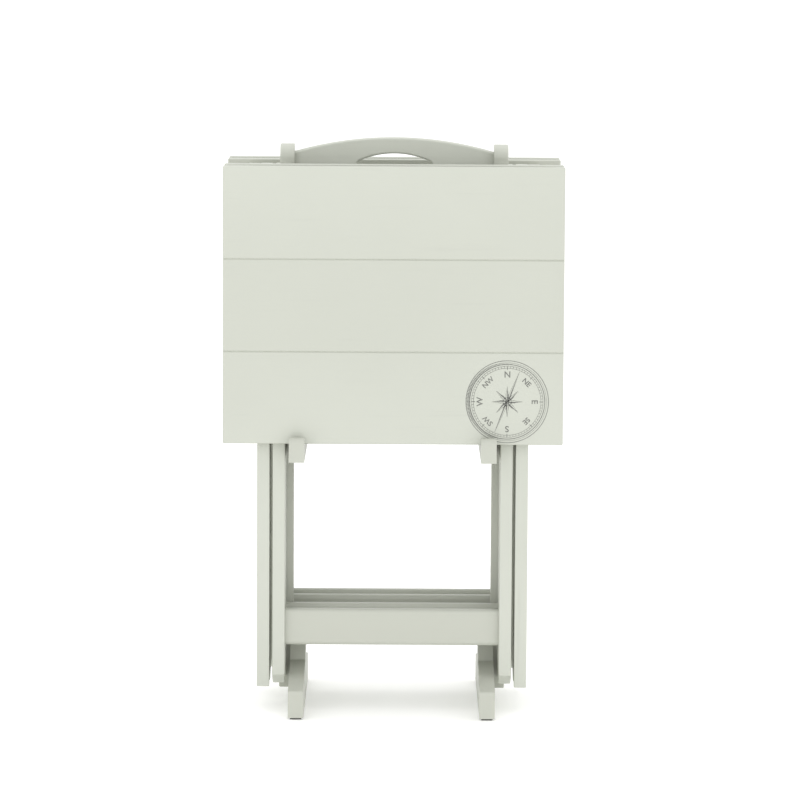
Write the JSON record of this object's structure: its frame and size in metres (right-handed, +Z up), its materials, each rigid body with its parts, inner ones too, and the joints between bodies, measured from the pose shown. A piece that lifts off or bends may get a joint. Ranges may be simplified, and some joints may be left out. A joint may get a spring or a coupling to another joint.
{
  "type": "folding tray tables with carrying stand",
  "caption": "Folding wooden tray tables hung folded on a free-standing notched rack with an arched carrying handle.",
  "frame": {"origin": "on the floor, under the middle of the stand", "axes": "+Z up along the posts, -Y towards the viewer of the front tray, +X to that viewer's right"},
  "size_m": [0.4826, 0.32, 0.8195],
  "materials": {
    "painted_wood": "satin",
    "bolt_steel": "satin",
    "clip_plastic": "matt",
    "foot_rubber": "matt"
  },
  "bodies": {
    "stand": {"stand_left_post": "painted_wood", "stand_right_post": "painted_wood", "stand_handle_board": "painted_wood", "stand_lower_rail": "painted_wood", "stand_left_arm": "painted_wood", "stand_right_arm": "painted_wood", "stand_left_foot": "painted_wood", "stand_right_foot": "painted_wood", "stand_frame_screws": "bolt_steel", "stand_foot_pads": "foot_rubber"},
    "table_1_hinge": {"table_1_hinge_bolts": "bolt_steel"},
    "table_1_legs": {"table_1_outer_leg_left": "painted_wood", "table_1_outer_leg_right": "painted_wood", "table_1_inner_leg_left": "painted_wood", "table_1_inner_leg_right": "painted_wood", "table_1_stretcher": "painted_wood", "table_1_latch_dowel": "painted_wood", "table_1_pivot_bolts": "bolt_steel"},
    "table_1_tray": {"table_1_panel": "painted_wood", "table_1_cleats": "painted_wood", "table_1_latch_clips": "clip_plastic", "table_1_cleat_screws": "bolt_steel"},
    "table_2": {"table_2_outer_leg_left": "painted_wood", "table_2_outer_leg_right": "painted_wood", "table_2_inner_leg_left": "painted_wood", "table_2_inner_leg_right": "painted_wood", "table_2_stretcher": "painted_wood", "table_2_latch_dowel": "painted_wood", "table_2_pivot_bolts": "bolt_steel", "table_2_panel": "painted_wood", "table_2_cleats": "painted_wood", "table_2_latch_clips": "clip_plastic", "table_2_cleat_screws": "bolt_steel", "table_2_hinge_bolts": "bolt_steel"},
    "table_3": {"table_3_outer_leg_left": "painted_wood", "table_3_outer_leg_right": "painted_wood", "table_3_inner_leg_left": "painted_wood", "table_3_inner_leg_right": "painted_wood", "table_3_stretcher": "painted_wood", "table_3_latch_dowel": "painted_wood", "table_3_pivot_bolts": "bolt_steel", "table_3_panel": "painted_wood", "table_3_cleats": "painted_wood", "table_3_latch_clips": "clip_plastic", "table_3_cleat_screws": "bolt_steel", "table_3_hinge_bolts": "bolt_steel"},
    "table_4_hinge": {"table_4_hinge_bolts": "bolt_steel"},
    "table_4_legs": {"table_4_outer_leg_left": "painted_wood", "table_4_outer_leg_right": "painted_wood", "table_4_inner_leg_left": "painted_wood", "table_4_inner_leg_right": "painted_wood", "table_4_stretcher": "painted_wood", "table_4_latch_dowel": "painted_wood", "table_4_pivot_bolts": "bolt_steel"},
    "table_4_tray": {"table_4_panel": "painted_wood", "table_4_cleats": "painted_wood", "table_4_latch_clips": "clip_plastic", "table_4_cleat_screws": "bolt_steel"}
  },
  "joints": [
    {"name": "table_1_take_off", "type": "hinge", "parent": "stand", "child": "table_1_hinge", "pos_m": [0, -0.434, 0.751], "axis": [1, 0, 0], "range_deg": [0, 180]},
    {"name": "table_1_legs_upright", "type": "hinge", "parent": "table_1_hinge", "child": "table_1_legs", "pos_m": [0, -0.089, 0.7625], "axis": [1, 0, 0], "range_deg": [-180, 0]},
    {"name": "table_1_tray_swing", "type": "hinge", "parent": "table_1_legs", "child": "table_1_tray", "pos_m": [0, -0.089, 0.7625], "axis": [1, 0, 0], "range_deg": [-90, 0]},
    {"name": "table_2_lift", "type": "slide", "parent": "stand", "child": "table_2", "axis": [0, 0, 1], "range_m": [0, 0.025]},
    {"name": "table_3_lift", "type": "slide", "parent": "stand", "child": "table_3", "axis": [0, 0, 1], "range_m": [0, 0.025]},
    {"name": "table_4_take_off", "type": "hinge", "parent": "stand", "child": "table_4_hinge", "pos_m": [0, 0.434, 0.751], "axis": [-1, 0, 0], "range_deg": [0, 180]},
    {"name": "table_4_legs_upright", "type": "hinge", "parent": "table_4_hinge", "child": "table_4_legs", "pos_m": [0, 0.089, 0.7625], "axis": [-1, 0, 0], "range_deg": [-180, 0]},
    {"name": "table_4_tray_swing", "type": "hinge", "parent": "table_4_legs", "child": "table_4_tray", "pos_m": [0, 0.089, 0.7625], "axis": [-1, 0, 0], "range_deg": [-90, 0]}
  ],
  "couplings": [
    {"joint": "table_1_legs_upright", "follows": "table_1_take_off", "ratio": -1},
    {"joint": "table_1_tray_swing", "follows": "table_1_take_off", "ratio": -0.5},
    {"joint": "table_4_legs_upright", "follows": "table_4_take_off", "ratio": -1},
    {"joint": "table_4_tray_swing", "follows": "table_4_take_off", "ratio": -0.5}
  ]
}
